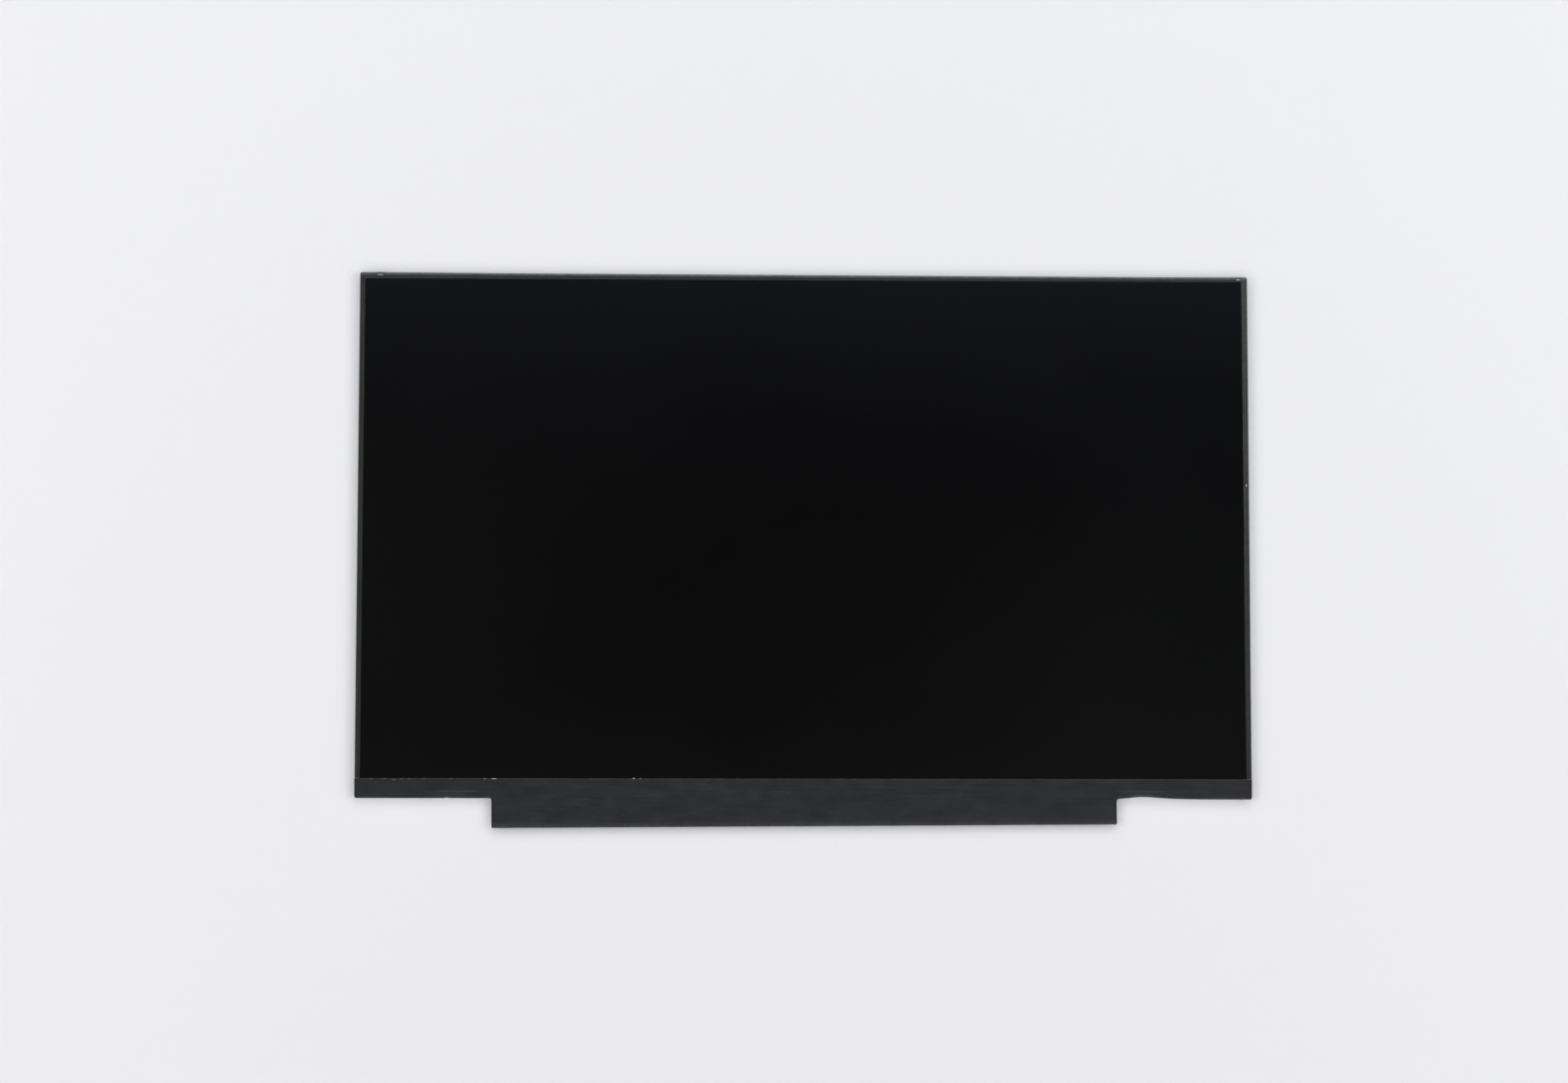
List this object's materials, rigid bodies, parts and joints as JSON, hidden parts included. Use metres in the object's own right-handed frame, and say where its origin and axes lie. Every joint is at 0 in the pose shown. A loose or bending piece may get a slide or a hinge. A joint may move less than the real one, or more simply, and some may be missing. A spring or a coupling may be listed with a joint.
{
  "type": "laptop screen panel",
  "caption": "Flat notebook display module: matt black screen with narrow taped borders, lit from its lower edge, and a driver board hanging from that edge under black tape.",
  "frame": {"origin": "middle of the module's outline, on the flat rear face of its metal plate", "axes": "+X to the right as the screen is viewed, +Y towards the top edge of the screen, +Z out of the screen; the driver board hangs on the -Y side"},
  "size_m": [0.3158, 0.1961, 0.0023],
  "materials": {
    "screen_film": "anti-glare film, black",
    "rear_film": "dark polarising film",
    "cell_glass": "thin clear glass",
    "black_tape": "satin black film tape",
    "frame_white": "moulded white plastic",
    "plate_metal": "rolled sheet, fine grain",
    "white_sheet": "white optical sheet",
    "clear_guide": "clear moulded plate",
    "amber_flex": "amber flexible film",
    "lamp_body": "white body with yellow window",
    "board_green": "green coated board",
    "chip_black": "moulded package",
    "silicon": "bare die, dark grey",
    "ferrite": "dark moulded core",
    "capacitor_ceramic": "tan ceramic",
    "resistor_ceramic": "black coated ceramic",
    "fuse_ceramic": "pale ceramic",
    "socket_plastic": "black moulded plastic",
    "socket_steel": "tinned sheet",
    "contact_gold": "gold plated",
    "foil": "conductive foil"
  },
  "bodies": {
    "root": {"rear_plate": "plate_metal", "mould_frame": "frame_white", "reflector_sheet": "white_sheet", "light_guide": "clear_guide", "diffuser_sheet": "white_sheet", "lower_prism_sheet": "white_sheet", "upper_prism_sheet": "white_sheet", "lamp_flex": "amber_flex", "flex_tape": "white_sheet", "lamps": "lamp_body", "rim_tape": "black_tape", "rear_polariser": "rear_film", "array_glass": "cell_glass", "colour_filter_glass": "cell_glass", "front_polariser": "screen_film", "source_film_1": "amber_flex", "source_film_2": "amber_flex", "source_film_3": "amber_flex", "source_film_4": "amber_flex", "driver_chip_1": "silicon", "driver_chip_2": "silicon", "driver_chip_3": "silicon", "driver_chip_4": "silicon", "driver_board": "board_green", "timing_controller": "chip_black", "power_regulator": "chip_black", "backlight_driver": "chip_black", "settings_memory": "chip_black", "inductor_1": "ferrite", "inductor_2": "ferrite", "inductor_3": "ferrite", "diodes": "chip_black", "fuse": "fuse_ceramic", "ceramic_capacitors": "capacitor_ceramic", "chip_resistors": "resistor_ceramic", "socket_contacts": "contact_gold", "socket_housing": "socket_plastic", "socket_shell": "socket_steel", "ground_foil": "foil", "left_edge_tape": "black_tape", "right_edge_tape": "black_tape", "top_edge_tape": "black_tape", "lower_cover_tape": "black_tape"}
  },
  "joints": []
}
